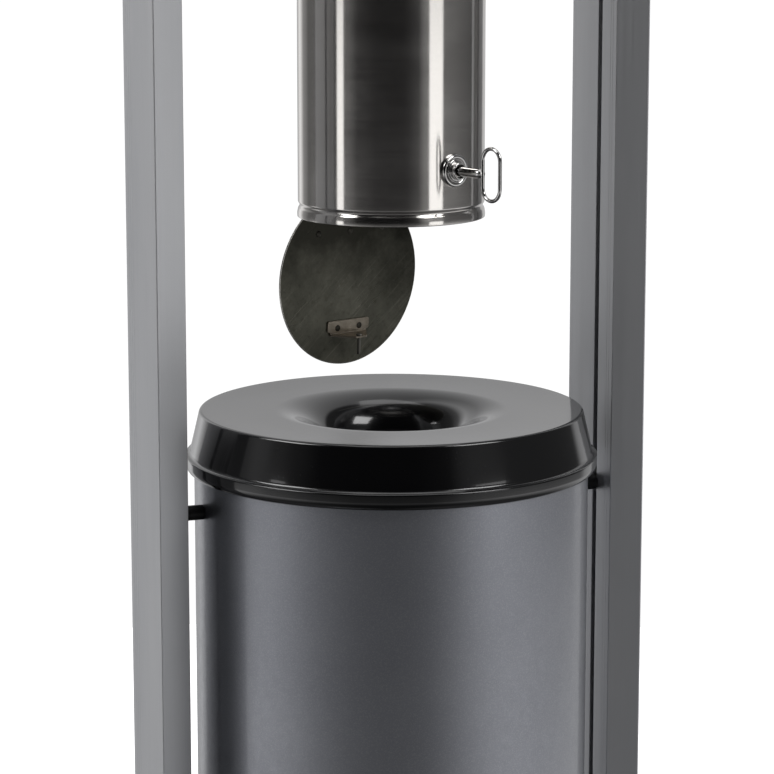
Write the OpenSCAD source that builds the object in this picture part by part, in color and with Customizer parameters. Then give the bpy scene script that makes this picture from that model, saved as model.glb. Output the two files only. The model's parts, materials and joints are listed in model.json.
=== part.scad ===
// Smoking station: two aluminium posts carry a waste bin with a funnel lid and, above it, a steel
// ash tube whose bottom flap is held shut by a key-operated lock.
// Millimetres. +Z is up, X runs from post to post, the front is -Y. The origin lies on the floor
// under the common axis of the bin and the ash tube. The flap is drawn hanging open, the lock
// unlocked and the key in its socket.

/* [Posts] */
// Distance from the centre line to the inner face of each post
post_x = 189.5; // [186:0.5:200]
// Width of a post from its inner face to its outer face
post_w = 27; // [25:0.5:32]
// Distance from the slot line forward to the inner front corner of a post
post_front = 33.5; // [30:0.5:38]
// Distance from the slot line back to the inner rear corner of a post
post_rear = 60; // [55:0.5:65]
// How much further forward than the inner corners the outer corners of a post lie
post_rake = 9; // [0:0.5:10]
// Height of the posts' top end above the floor
post_top = 1130; // [1100:5:1200]
// Wall of the extruded posts
post_wall = 2.5; // [2:0.1:3]
// Width of the slot in the inner face
slot_w = 8; // [7:0.1:8.4]

/* [Base plate] */
// Width of the base plate along the post line
base_w = 500; // [480:5:600]
// Depth of the base plate
base_d = 320; // [300:5:400]
// Thickness of the base plate
base_t = 8; // [6:0.5:12]
// Distance between the anchor holes along the post line
anchor_x = 400; // [400:5:420]
// Distance between the anchor holes from front to back
anchor_y = 260; // [220:5:270]
// Radius of the anchor holes
anchor_r = 7; // [5:0.5:9]

/* [Waste bin] */
// Outer radius of the bin body
bin_r = 167.5; // [160:0.5:170]
// Sheet thickness of the bin body
bin_wall = 2; // [1.5:0.1:2.5]
// Height of the bin body's lower edge above the floor
bin_low = 45; // [30:1:60]
// Height of the lid's flat top above the floor
lid_top = 560; // [540:5:600]
// Radius of the lid's throat
throat_r = 57; // [50:1:60]
// Radius at which the lid's flat top begins to roll into the throat
funnel_r = 100; // [90:1:104]
// Depth over which the top rolls into the throat
funnel_depth = 34; // [28:1:38]
// Fall of the lid's flat top from its edge to the funnel
lid_dish = 1.5; // [0:0.1:2]
// Wall of the lid
lid_wall = 1.6; // [1.2:0.1:2]
// Outer radius of the liner that stands inside the bin
liner_r = 156; // [150:1:158]

/* [Ash tube] */
// Outer radius of the ash tube
tube_r = 78.3; // [76:0.1:80]
// Sheet thickness of the ash tube
tube_wall = 1.5; // [1:0.1:2]
// Height of the tube's lower edge above the lid's flat top
tube_gap = 164; // [160:1:200]
// Length of the ash tube
tube_len = 340; // [320:5:360]
// Depth of the rolled groove above the lower edge
groove_depth = 1.4; // [0.8:0.1:1.6]
// Radius of the throw-in hole in the stub grid
stub_hole_r = 24; // [20:1:28]

/* [Flap and lock] */
// Direction of the lock, in degrees to the right of the front
lock_turn = 21; // [15:1:35]
// Distance from the tube's axis back to the hinge of the flap
hinge_back = 56; // [54:0.5:58]
// Radius of the flap
flap_r = 76; // [75:0.1:76.2]
// Angle through which the flap drops from shut to hanging free
flap_drop = 93; // [90:0.5:100]
// Height of the lock above the tube's lower edge
lock_up = 44.5; // [42:0.5:48]
// Reach of the catch pin above the face of the shut flap
catch_stand = 16; // [14:0.5:18]

/* [Hidden] */
$fn = 96;
small = 0.01;

// Posts
post_corner_r = 1;
post_rear_r = 4;
lip_t = 3;
channel_w = 17;
channel_d = 11;
port_r = 4.1;
port_wall = 2.4;
port_x = post_w / 2;
port_front_y = -post_front + 12;
port_rear_y = 26;
cap_t = 4;
cap_plug_t = 12;
foot_screw_r = 4;
foot_head_r = 8;
foot_recess = 0.6;
foot_screw_len = 24;
base_corner_r = 16;

// Fixings between the posts and what they carry
standoff_r = 7;
m6_r = 3;
m6_clear_r = 3.2;
m6_head_r = 5;
m6_head_t = 4;
nut_t = 6.5;
nut_w = 15;
nut_len = 20;
bin_fix_low = 95;
bin_fix_high = lid_top - 78;

// Lid section: the skirt, the cove above the rim band and the band itself
lid_edge_r = 163.3;
lid_fillet = 3;
skirt_r = bin_r + 3;
skirt_low = lid_top - 33.5;
cove_r = 3.8;
band_r = 175;
band_high = lid_top - 38.5;
band_low = lid_top - 44;
curl_r = 169.5;
curl_low = lid_top - 51;
throat_low = lid_top - lid_dish - funnel_depth - 10.5;
bin_high = lid_top - 35.5;
bottom_t = 2;
bottom_up = 8;
liner_t = 1.2;
liner_floor = bin_low + bottom_up + bottom_t + 0.3;
liner_high = bin_fix_high + 18;
liner_bead_r = 2.5;

// Ash tube
tube_low = lid_top + tube_gap;
tube_high = tube_low + tube_len;
tube_band = 0.7;
groove_z = tube_low + 10;
groove_half = 3.2;
bead_r = 2.8;
bead_at = tube_r - tube_wall + bead_r;
tube_fix_low = tube_high - 123;
tube_fix_high = tube_high - 33;
seat_z = tube_high - 18;
seat_t = 2;
grid_t = 1.5;
grid_r = tube_r - tube_wall - 1;
grid_gap = 0.3;
grid_flange = 9;

// Hinge and flap, in the flap's own frame: X along the hinge, Y from the hinge to the lock, Z up
knuckle_r = 2.2;
hinge_bore_r = 1.25;
hinge_pin_r = 1.2;
leaf_t = 1;
fixed_leaf_len = 10.5;
fixed_leaf_w = 64;
fixed_rivet_y = 6.5;
fixed_rivets = [-20, 20];
flap_leaf_len = 21;
flap_leaf_w = 84;
flap_rivet_y = 16;
flap_leaf_rivets = [-35, 0, 35];
knuckle_mid = 44;
knuckle_gap = 0.3;
flap_t = 1.5;
flap_edge_gap = 1.5;
flap_low = tube_low + 0.3;
hinge_z = flap_low - knuckle_r;
rivet_r = 1.6;
rivet_head_r = 2.8;
rivet_head_t = 0.9;
catch_y = hinge_back + 50;
catch_flange_w = 46;
catch_flange_h = 13;
catch_t = 1.5;
catch_pin_r = 1.5;
catch_pin_len = 15;
catch_rivet_x = 12;

// Lock, in the lock's own frame: Y runs outward along the lock's axis from the tube's axis
lock_z = tube_low + lock_up;
barrel_r = 7.2;
barrel_back = 61.5;
collar_out = tube_r + 8;
rosette_r = 13.6;
rosette_out = tube_r + 3.2;
shoulder_r = 9;
shoulder_t = 1.5;
bore_r = 5;
plug_r = 4.95;
recess_r = 5.8;
recess_back = 77;
plug_flange_t = 2;
pin_tri_r = 3;
pin_tri_len = 6;
socket_tri_r = 3.3;
square_w = 6;
cam_back = 58;
cam_t = 3;
cam_hub_r = 8;
cam_arm_w = 6;
cam_arm_lean = 19;
catch_drop = lock_z - (flap_low + flap_t + catch_stand);
cam_foot_r = catch_drop + catch_pin_r + 0.4;
cam_foot_t = 4;
cam_turn = 90;
key_shank_r = 4;
key_back = 79.4;
key_shank_len = 34;
bow_r = 10.2;
bow_half = 11;
bow_wire_r = 1.6;

anodised = [0.62, 0.62, 0.64];
black_plastic = [0.08, 0.08, 0.08];
black_gloss = [0.03, 0.03, 0.03];
bin_grey = [0.45, 0.46, 0.49];
zinc = [0.62, 0.64, 0.66];
stainless = [0.6, 0.58, 0.55];
dull_steel = [0.35, 0.34, 0.31];
chrome = [0.8, 0.8, 0.82];

// A section with its points in order along its visible side, given a wall on the right-hand side
function step_dir(pts, i) =
    let (a = pts[max(i - 1, 0)], b = pts[min(i + 1, len(pts) - 1)], d = b - a) d / norm(d);
function wall_side(pts, t) =
    [for (i = [0 : len(pts) - 1]) let (d = step_dir(pts, i)) pts[i] + t * [d[1], -d[0]]];
function backward(pts) = [for (i = [len(pts) - 1 : -1 : 0]) pts[i]];
function arc(cx, cy, rx, ry, from, to, steps) =
    [for (i = [0 : steps]) let (a = from + (to - from) * i / steps) [cx + rx * cos(a), cy + ry * sin(a)]];

module turned_shell(pts, t) {
    rotate_extrude() polygon(concat(pts, backward(wall_side(pts, t))));
}

// Stands a shape drawn for the right-hand side on either side of the station
module on_side(side) {
    if (side > 0) children();
    else mirror([1, 0, 0]) children();
}

// Lays a shape drawn along Z so that it runs outward along X from the distance given
module along_x(from, z) {
    translate([from, 0, z]) rotate([0, 90, 0]) children();
}

// Turns a shape whose +Y points outward so that it points to the lock
module toward_lock() {
    rotate([0, 0, 180 + lock_turn]) children();
}

module along_y(from) {
    translate([0, from, 0]) rotate([-90, 0, 0]) children();
}

// ---- Posts and base ----

// The front and rear faces are raked, and lean forward from the inner face to the outer face
rake_turn = atan(post_rake / post_w);
function raked(y, x) = y - x * tan(rake_turn);

module post_outline() {
    front_x = post_w - post_corner_r;
    front_y = raked(-post_front, front_x) + post_corner_r / cos(rake_turn);
    rear_x = post_w - post_rear_r;
    rear_y = raked(post_rear, rear_x) - post_rear_r / cos(rake_turn);
    polygon(concat(
        [[0, -post_front]],
        arc(front_x, front_y, post_corner_r, post_corner_r, -90 - rake_turn, 0, 5),
        arc(rear_x, rear_y, post_rear_r, post_rear_r, 0, 90 - rake_turn, 6),
        [[0, post_rear]]));
}

module post_section() {
    in_w = post_w - post_wall;
    web_y = channel_w / 2 + post_wall;
    end_wall = post_wall / cos(rake_turn);
    difference() {
        post_outline();
        translate([-1, -slot_w / 2]) square([lip_t + 2, slot_w]);
        translate([lip_t, -channel_w / 2]) square([channel_d - lip_t, channel_w]);
        translate([channel_d + post_wall, -channel_w / 2])
            square([in_w - channel_d - post_wall, channel_w]);
        difference() {
            polygon([[post_wall, raked(-post_front, post_wall) + end_wall],
                     [in_w, raked(-post_front, in_w) + end_wall], [in_w, -web_y], [post_wall, -web_y]]);
            translate([port_x, port_front_y]) circle(r = port_r + port_wall);
            translate([0, port_front_y - post_wall / 2]) square([post_w, post_wall]);
        }
        difference() {
            polygon([[post_wall, web_y], [in_w, web_y], [in_w, raked(post_rear, in_w) - end_wall],
                     [post_wall, raked(post_rear, post_wall) - end_wall]]);
            translate([port_x, port_rear_y]) circle(r = port_r + port_wall);
            translate([0, port_rear_y - post_wall / 2]) square([post_w, post_wall]);
        }
        translate([port_x, port_front_y]) circle(r = port_r);
        translate([port_x, port_rear_y]) circle(r = port_r);
    }
}

module post(side) {
    color(anodised) on_side(side) translate([post_x, 0, base_t])
        linear_extrude(post_top - base_t) post_section();
}

module left_post() { post(-1); }
module right_post() { post(1); }

module post_cap(side) {
    plug_gap = 0.4;
    color(black_plastic) on_side(side) translate([post_x, 0, post_top]) {
        linear_extrude(cap_t) post_outline();
        translate([channel_d + post_wall + plug_gap, -channel_w / 2 + plug_gap, -cap_plug_t])
            cube([post_w - 2 * post_wall - channel_d - 2 * plug_gap, channel_w - 2 * plug_gap,
                  cap_plug_t + small]);
        for (y = [port_front_y, port_rear_y])
            translate([port_x, y, -cap_plug_t]) cylinder(r = port_r - 0.2, h = cap_plug_t + small);
    }
}

module left_post_cap() { post_cap(-1); }
module right_post_cap() { post_cap(1); }

module base_plate() {
    head_h = foot_head_r - foot_screw_r;
    color(zinc) difference() {
        union() {
            translate([-base_w / 2 + base_corner_r, -base_d / 2, 0])
                cube([base_w - 2 * base_corner_r, base_d, base_t]);
            translate([-base_w / 2, -base_d / 2 + base_corner_r, 0])
                cube([base_w, base_d - 2 * base_corner_r, base_t]);
            for (x = [-1, 1], y = [-1, 1])
                translate([x * (base_w / 2 - base_corner_r), y * (base_d / 2 - base_corner_r), 0])
                    cylinder(r = base_corner_r, h = base_t);
        }
        for (x = [-1, 1], y = [-1, 1])
            translate([x * anchor_x / 2, y * anchor_y / 2, -1]) cylinder(r = anchor_r, h = base_t + 2);
        for (side = [-1, 1], y = [port_front_y, port_rear_y])
            translate([side * (post_x + port_x), y, 0]) {
                translate([0, 0, -1]) cylinder(r = foot_screw_r + 0.3, h = base_t + 2);
                translate([0, 0, -1]) cylinder(r = foot_head_r + 0.3, h = foot_recess + 1 + small);
                translate([0, 0, foot_recess])
                    cylinder(r1 = foot_head_r + 0.3, r2 = foot_screw_r + 0.3, h = head_h);
            }
    }
}

module post_foot_screws() {
    head_h = foot_head_r - foot_screw_r;
    color(zinc) for (side = [-1, 1], y = [port_front_y, port_rear_y])
        translate([side * (post_x + port_x), y, foot_recess]) difference() {
            union() {
                cylinder(r1 = foot_head_r, r2 = foot_screw_r, h = head_h);
                cylinder(r = foot_screw_r, h = foot_screw_len);
            }
            translate([0, 0, -1]) cylinder(r = 2.9, h = 4, $fn = 6);
        }
}

// ---- Fixings through the slots ----

module standoff(side, wall_r, z) {
    color(black_plastic) on_side(side) difference() {
        along_x(wall_r - 1, z) cylinder(r = standoff_r, h = post_x - wall_r + 1);
        along_x(wall_r - 2, z) cylinder(r = m6_clear_r, h = post_x - wall_r + 3);
        translate([0, 0, z - 10]) cylinder(r = wall_r, h = 20, $fn = 180);
    }
}

module wall_screws(inner_r, heights) {
    head_face = sqrt(inner_r * inner_r - m6_head_r * m6_head_r) - 0.05;
    shank_len = post_x + lip_t + nut_t + 1 - head_face;
    color(zinc) for (side = [-1, 1], z = heights) on_side(side) difference() {
        union() {
            along_x(head_face, z) cylinder(r = m6_r, h = shank_len);
            along_x(head_face - m6_head_t, z) cylinder(r = m6_head_r, h = m6_head_t + small);
        }
        along_x(head_face - m6_head_t - 1, z) cylinder(r = 2.3, h = 3.5, $fn = 6);
    }
}

module slot_nuts(heights) {
    color(zinc) for (side = [-1, 1], z = heights) on_side(side) difference() {
        translate([post_x + lip_t + 0.1, -nut_w / 2, z - nut_len / 2]) cube([nut_t, nut_w, nut_len]);
        along_x(post_x, z) cylinder(r = m6_r + 0.05, h = 20);
    }
}

// ---- Waste bin ----

module bin_body() {
    color(bin_grey) difference() {
        rotate_extrude($fn = 180) polygon([
            [bin_r, bin_low], [bin_r, bin_high], [bin_r - bin_wall, bin_high],
            [bin_r - bin_wall, bin_low + 2], [bin_r - 6, bin_low + 2], [bin_r - 6, bin_low]]);
        for (z = [bin_fix_low, bin_fix_high])
            along_x(-bin_r - 5, z) cylinder(r = m6_clear_r, h = 2 * bin_r + 10);
    }
}

module bin_bottom() {
    disc_r = bin_r - bin_wall - 0.1;
    z = bin_low + bottom_up;
    color(zinc) rotate_extrude($fn = 180) polygon([
        [0, z], [disc_r - bottom_t, z], [disc_r - bottom_t, bin_low + 2.1], [disc_r, bin_low + 2.1],
        [disc_r, z + bottom_t], [0, z + bottom_t]]);
}

module bin_liner() {
    color(zinc) union() {
        turned_shell(concat([[0, liner_floor]], arc(liner_r - 12, liner_floor + 8, 8, 8, -90, 0, 6),
                            [[liner_r, liner_high]]), -liner_t);
        rotate_extrude() translate([liner_r, liner_high]) circle(r = liner_bead_r, $fn = 32);
    }
}

module bin_lid() {
    color(black_gloss) turned_shell(concat(
        [[throat_r, throat_low]],
        arc(funnel_r, lid_top - lid_dish - funnel_depth, funnel_r - throat_r, funnel_depth, 180, 90, 16),
        arc(lid_edge_r - lid_fillet, lid_top - lid_fillet, lid_fillet, lid_fillet, 90, 8, 5),
        arc(skirt_r + cove_r, skirt_low, cove_r, cove_r, 180, 258, 8),
        arc(band_r - 1.5, band_high - 0.2, 1.5, 1.5, 70, 0, 3),
        arc(curl_r, band_low, band_r - curl_r, band_low - curl_low, 0, -90, 7)), lid_wall);
}

// ---- Ash tube ----

module ash_tube() {
    groove = [for (u = [-1 : 0.2 : 1])
        [tube_r - groove_depth * (1 + cos(180 * u)) / 2, groove_z + groove_half * u]];
    outside = concat(
        [[tube_r + tube_band - 0.4, tube_low], [tube_r + tube_band, tube_low + 1],
         [tube_r + tube_band - 0.3, groove_z - groove_half - 1.5]],
        groove, [[tube_r, groove_z + groove_half + 2], [tube_r, tube_high - bead_r]]);
    color(stainless) difference() {
        union() {
            turned_shell(outside, -tube_wall);
            rotate_extrude() translate([bead_at, tube_high - bead_r]) circle(r = bead_r, $fn = 32);
        }
        for (z = [tube_fix_low, tube_fix_high])
            along_x(-tube_r - 5, z) cylinder(r = m6_clear_r, h = 2 * tube_r + 10);
        translate([0, 0, lock_z]) toward_lock() along_y(0) cylinder(r = barrel_r + 0.2, h = 100);
    }
}

module grid_seat_ring() {
    inner = tube_r - tube_wall - 0.05;
    color(stainless) rotate_extrude() polygon([
        [inner - 6, seat_z - seat_t], [inner, seat_z - seat_t - 5], [inner, seat_z], [inner - 6, seat_z]]);
}

module stub_grid() {
    low = seat_z + grid_gap;
    color(stainless) difference() {
        union() {
            translate([0, 0, low]) cylinder(r = grid_r, h = grid_t);
            translate([0, 0, low]) cylinder(r = stub_hole_r + grid_t, h = grid_t + 3);
            translate([0, 0, low]) cylinder(r = grid_r, h = grid_flange);
        }
        translate([0, 0, low + grid_t]) difference() {
            cylinder(r = grid_r - grid_t, h = grid_flange);
            translate([0, 0, -1]) cylinder(r = stub_hole_r + grid_t, h = 4);
        }
        translate([0, 0, low - 1]) cylinder(r = stub_hole_r, h = 12);
        for (ring = [[36, 18], [48, 24], [60, 30]], i = [0 : ring[1] - 1])
            rotate(360 * (i + 0.5) / ring[1]) translate([ring[0], 0, low - 1])
                cylinder(r = 2.6, h = grid_t + 2, $fn = 24);
    }
}

// ---- Hinge and flap ----

// The flap's frame as it hangs open, and the frame of the hinge's fixed half
module hinge_frame() {
    toward_lock() translate([0, -hinge_back, hinge_z]) children();
}

module flap_hanging() {
    hinge_frame() rotate([-flap_drop, 0, 0]) children();
}

// One half of the hinge: a leaf under the plate, with its knuckles rolled round the pin.
// spans lists where each knuckle starts and ends along the pin; way is 1 to the lock, -1 back.
// The rivets of a leaf stand in a row at rivet_y from the pin.
module hinge_half(spans, way, leaf_w, leaf_len, rivets, rivet_y) {
    difference() {
        union() {
            for (span = spans) translate([span[0], 0, 0]) rotate([0, 90, 0])
                cylinder(r = knuckle_r, h = span[1] - span[0], $fn = 32);
            for (span = spans)
                translate([span[0], way > 0 ? 0 : -3, knuckle_r - leaf_t])
                    cube([span[1] - span[0], 3, leaf_t]);
            translate([-leaf_w / 2, way > 0 ? 2.6 : -leaf_len, knuckle_r - leaf_t])
                cube([leaf_w, leaf_len - 2.6, leaf_t]);
        }
        translate([-flap_leaf_w, 0, 0]) rotate([0, 90, 0])
            cylinder(r = hinge_bore_r, h = 2 * flap_leaf_w, $fn = 32);
        for (x = rivets) translate([x, way * rivet_y, 0])
            cylinder(r = rivet_r + 0.05, h = 10, $fn = 32);
    }
}

// A domed rivet whose shank runs down through two sheets, with its tail spread below them
module rivet(grip) {
    tail_t = 0.7;
    tail_r = rivet_r + 0.6;
    rotate_extrude($fn = 32) polygon(concat(
        [[0, -grip / 2 - tail_t], [tail_r, -grip / 2 - tail_t], [tail_r, -grip / 2],
         [rivet_r, -grip / 2], [rivet_r, grip / 2]],
        arc(0, grip / 2, rivet_head_r, rivet_head_t, 0, 90, 6)));
}

module leaf_rivets(rivets, y) {
    for (x = rivets) translate([x, y, knuckle_r + (flap_t - leaf_t) / 2]) rivet(flap_t + leaf_t);
}

module hinge_fixed_leaf() {
    edge = knuckle_mid / 2 + knuckle_gap;
    color(stainless) hinge_frame()
        hinge_half([[-flap_leaf_w / 2, -edge], [edge, flap_leaf_w / 2]], -1,
                   fixed_leaf_w, fixed_leaf_len, fixed_rivets, fixed_rivet_y);
}

module hinge_flap_leaf() {
    color(stainless) flap_hanging() hinge_half([[-knuckle_mid / 2, knuckle_mid / 2]], 1,
                                               flap_leaf_w, flap_leaf_len, flap_leaf_rivets, flap_rivet_y);
}

module hinge_pin() {
    color(dull_steel) hinge_frame() rotate([0, 90, 0]) {
        translate([0, 0, -flap_leaf_w / 2 - 0.5])
            cylinder(r = hinge_pin_r, h = flap_leaf_w + 1, $fn = 32);
        for (z = [-flap_leaf_w / 2 - 1.2, flap_leaf_w / 2 + 0.2])
            translate([0, 0, z]) cylinder(r = 1.8, h = 1, $fn = 32);
    }
}

module hinge_plate() {
    color(stainless) hinge_frame() difference() {
        intersection() {
            translate([0, hinge_back, knuckle_r]) cylinder(r = tube_r - tube_wall - 0.05, h = flap_t);
            translate([-100, -100, 0]) cube([200, 100 - flap_edge_gap, 10]);
        }
        for (x = fixed_rivets) translate([x, -fixed_rivet_y, 0])
            cylinder(r = rivet_r + 0.05, h = 10, $fn = 32);
    }
}

module hinge_plate_rivets() {
    color(dull_steel) hinge_frame() leaf_rivets(fixed_rivets, -fixed_rivet_y);
}

module flap_disc() {
    color(dull_steel) flap_hanging() difference() {
        intersection() {
            translate([0, hinge_back, knuckle_r]) cylinder(r = flap_r, h = flap_t, $fn = 180);
            translate([-100, flap_edge_gap, 0]) cube([200, 200, 10]);
        }
        for (x = flap_leaf_rivets) translate([x, flap_rivet_y, 0])
            cylinder(r = rivet_r + 0.05, h = 10, $fn = 32);
        for (x = [-catch_rivet_x, catch_rivet_x])
            translate([x, catch_y - catch_flange_h / 2, 0])
                cylinder(r = rivet_r + 0.05, h = 10, $fn = 32);
    }
}

module flap_rivets() {
    color(dull_steel) flap_hanging() {
        leaf_rivets(flap_leaf_rivets, flap_rivet_y);
        for (x = [-catch_rivet_x, catch_rivet_x])
            translate([x, catch_y - catch_flange_h / 2, knuckle_r + (flap_t + catch_t) / 2])
                rivet(flap_t + catch_t);
    }
}

module catch_bracket() {
    face = knuckle_r + flap_t;
    color(stainless) flap_hanging() difference() {
        union() {
            translate([-catch_flange_w / 2, catch_y - catch_flange_h, face])
                cube([catch_flange_w, catch_flange_h, catch_t]);
            translate([0, catch_y, face]) rotate([90, 0, 0]) linear_extrude(catch_t)
                polygon([[-20, 0], [20, 0], [6, catch_stand + 3.5], [-6, catch_stand + 3.5]]);
        }
        translate([0, catch_y + 1, face + catch_stand]) rotate([90, 0, 0])
            cylinder(r = catch_pin_r + 0.05, h = 6, $fn = 32);
        for (x = [-catch_rivet_x, catch_rivet_x])
            translate([x, catch_y - catch_flange_h / 2, 0])
                cylinder(r = rivet_r + 0.05, h = 20, $fn = 32);
    }
}

module catch_pin() {
    face = knuckle_r + flap_t;
    color(dull_steel) flap_hanging() translate([0, 0, face + catch_stand]) {
        along_y(catch_y - catch_t) cylinder(r = catch_pin_r, h = catch_t + catch_pin_len, $fn = 32);
        along_y(catch_y - catch_t - 1.5) cylinder(r = 2.6, h = 1.5, $fn = 32);
    }
}

// ---- Lock and key ----

module lock_frame() {
    translate([0, 0, lock_z]) toward_lock() children();
}

module lock_rosette() {
    bead = 1.6;
    color(chrome) lock_frame() difference() {
        along_y(0) rotate_extrude() polygon(concat(
            [[barrel_r + 0.1, tube_r - 3], [rosette_r, tube_r - 3]],
            arc(rosette_r - bead, rosette_out - bead, bead, bead, 0, 90, 5),
            arc(shoulder_r + 0.6, rosette_out - 0.4, 0.8, 0.4, 60, 180, 4),
            [[shoulder_r - 0.4, rosette_out - 0.8], [barrel_r + 0.1, rosette_out - 0.8]]));
        translate([0, 0, -30]) cylinder(r = tube_r, h = 60, $fn = 180);
    }
}

module lock_body() {
    color(chrome) lock_frame() along_y(0) difference() {
        union() {
            translate([0, 0, barrel_back]) cylinder(r = barrel_r, h = collar_out - 0.8 - barrel_back);
            translate([0, 0, collar_out - 0.8 - small])
                cylinder(r1 = barrel_r, r2 = barrel_r - 0.8, h = 0.8);
            translate([0, 0, rosette_out - 0.7]) cylinder(r = shoulder_r - 0.6, h = shoulder_t);
        }
        translate([0, 0, barrel_back - 1]) cylinder(r = bore_r, h = 30);
        translate([0, 0, recess_back]) cylinder(r = recess_r, h = 20);
    }
}

module lock_nut() {
    nut_face = tube_r - tube_wall - 1.6;
    color(zinc) lock_frame() along_y(nut_face - 5) difference() {
        cylinder(r = 12.4, h = 5, $fn = 6);
        translate([0, 0, -1]) cylinder(r = barrel_r + 0.05, h = 7);
    }
}

// The lock's plug, with its square tail for the cam and the three-sided pin that the key turns
module lock_plug() {
    tail = barrel_back - cam_back;
    color(dull_steel) lock_frame() along_y(0) difference() {
        union() {
            translate([0, 0, barrel_back]) cylinder(r = plug_r, h = recess_back - barrel_back + 1);
            translate([0, 0, recess_back + 0.05]) cylinder(r = recess_r - 0.3, h = plug_flange_t);
            translate([0, 0, recess_back + plug_flange_t])
                cylinder(r = pin_tri_r, h = pin_tri_len, $fn = 3);
            translate([-square_w / 2, -square_w / 2, cam_back]) cube([square_w, square_w, tail + small]);
        }
        translate([0, 0, cam_back - 1]) cylinder(r = 2, h = 10, $fn = 32);
    }
}

// The cam is a hook: an arm that passes beside the catch pin and a foot that comes under it.
// Drawn locked, with the foot below the hub (+Y here), then turned to its unlocked place.
module lock_cam() {
    lean = 90 + cam_arm_lean;
    foot_out = cam_foot_r + cam_foot_t;
    color(zinc) lock_frame() along_y(cam_back + 0.1) rotate([0, 0, cam_turn]) difference() {
        union() {
            cylinder(r = cam_hub_r, h = cam_t);
            rotate([0, 0, lean]) translate([0, -cam_arm_w / 2, 0])
                cube([foot_out - 1, cam_arm_w, cam_t]);
            linear_extrude(cam_t) polygon(concat(
                arc(0, 0, cam_foot_r, cam_foot_r, 90 - 16, lean + 7, 10),
                arc(0, 0, foot_out, foot_out, lean + 7, 90 - 16, 10)));
        }
        translate([0, 0, cam_t / 2]) cube([square_w + 0.2, square_w + 0.2, cam_t + 2], center = true);
    }
}

module cam_screw() {
    color(zinc) lock_frame() along_y(cam_back - 2) difference() {
        union() {
            cylinder(r = 4.6, h = 2, $fn = 48);
            cylinder(r = 1.9, h = 9, $fn = 32);
        }
        translate([0, 0, -1]) cylinder(r = 1.6, h = 2.2, $fn = 6);
    }
}

module key() {
    bow_y = key_back + key_shank_len + bow_r - 0.6;
    color(chrome) lock_frame() {
        along_y(key_back) difference() {
            union() {
                cylinder(r = key_shank_r, h = key_shank_len - 3);
                translate([0, 0, key_shank_len - 3 - small])
                    cylinder(r1 = key_shank_r, r2 = bow_wire_r + 0.6, h = 4);
            }
            translate([0, 0, -1]) cylinder(r = socket_tri_r, h = pin_tri_len + 2, $fn = 3);
        }
        translate([0, bow_y, 0]) {
            for (end = [-1, 1]) translate([0, 0, end * bow_half]) rotate([0, 90, 0])
                rotate([0, 0, end > 0 ? 90 : -90]) rotate_extrude(angle = 180)
                    translate([bow_r, 0]) circle(r = bow_wire_r, $fn = 32);
            for (y = [-bow_r, bow_r]) translate([0, y, -bow_half - small])
                cylinder(r = bow_wire_r, h = 2 * (bow_half + small), $fn = 32);
        }
    }
}

base_plate();
left_post();
right_post();
left_post_cap();
right_post_cap();
post_foot_screws();
bin_body();
bin_bottom();
bin_liner();
bin_lid();
standoff(-1, bin_r, bin_fix_low);  // bin_standoff_left_low
standoff(-1, bin_r, bin_fix_high);  // bin_standoff_left_high
standoff(1, bin_r, bin_fix_low);  // bin_standoff_right_low
standoff(1, bin_r, bin_fix_high);  // bin_standoff_right_high
wall_screws(bin_r - bin_wall, [bin_fix_low, bin_fix_high]);  // bin_screws
slot_nuts([bin_fix_low, bin_fix_high]);  // bin_slot_nuts
ash_tube();
grid_seat_ring();
stub_grid();
standoff(-1, tube_r, tube_fix_low);  // tube_standoff_left_low
standoff(-1, tube_r, tube_fix_high);  // tube_standoff_left_high
standoff(1, tube_r, tube_fix_low);  // tube_standoff_right_low
standoff(1, tube_r, tube_fix_high);  // tube_standoff_right_high
wall_screws(tube_r - tube_wall, [tube_fix_low, tube_fix_high]);  // tube_screws
slot_nuts([tube_fix_low, tube_fix_high]);  // tube_slot_nuts
hinge_plate();
hinge_fixed_leaf();
hinge_flap_leaf();
hinge_pin();
hinge_plate_rivets();
flap_disc();
flap_rivets();
catch_bracket();
catch_pin();
lock_rosette();
lock_body();
lock_nut();
lock_plug();
lock_cam();
cam_screw();
key();
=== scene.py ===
import json
from math import atan2, cos, degrees, pi, radians, sin, sqrt, tan

import bmesh
import bpy
from mathutils import Matrix, Vector


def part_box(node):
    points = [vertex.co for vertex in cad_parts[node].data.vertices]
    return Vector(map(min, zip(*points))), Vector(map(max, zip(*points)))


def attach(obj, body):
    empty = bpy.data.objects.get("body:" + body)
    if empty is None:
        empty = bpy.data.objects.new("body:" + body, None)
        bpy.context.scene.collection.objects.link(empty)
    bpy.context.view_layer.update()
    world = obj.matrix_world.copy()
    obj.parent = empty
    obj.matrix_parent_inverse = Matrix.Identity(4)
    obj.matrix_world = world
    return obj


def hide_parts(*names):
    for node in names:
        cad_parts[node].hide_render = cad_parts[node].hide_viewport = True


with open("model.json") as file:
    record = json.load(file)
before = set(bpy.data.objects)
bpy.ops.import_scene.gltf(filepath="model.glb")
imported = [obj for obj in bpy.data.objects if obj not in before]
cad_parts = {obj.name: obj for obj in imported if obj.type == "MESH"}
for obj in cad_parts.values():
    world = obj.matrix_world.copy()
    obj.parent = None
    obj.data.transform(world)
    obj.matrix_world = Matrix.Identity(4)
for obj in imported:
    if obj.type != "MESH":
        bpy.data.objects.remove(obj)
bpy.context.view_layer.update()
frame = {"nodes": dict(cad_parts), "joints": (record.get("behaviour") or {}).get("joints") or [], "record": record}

record = frame["record"]
joints = {joint["name"]: joint for joint in frame["joints"]}
mounts = {mount["name"]: mount for mount in record["mounts"]}
MM = 0.001


# ---------------------------------------------------------------- base plate and foot screws
# A flame-cut steel plate, hot-dip galvanised after the four anchor holes are drilled. The zinc
# freezes in coarse spangles. Countersunk screws come up through it into the two posts.

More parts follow.
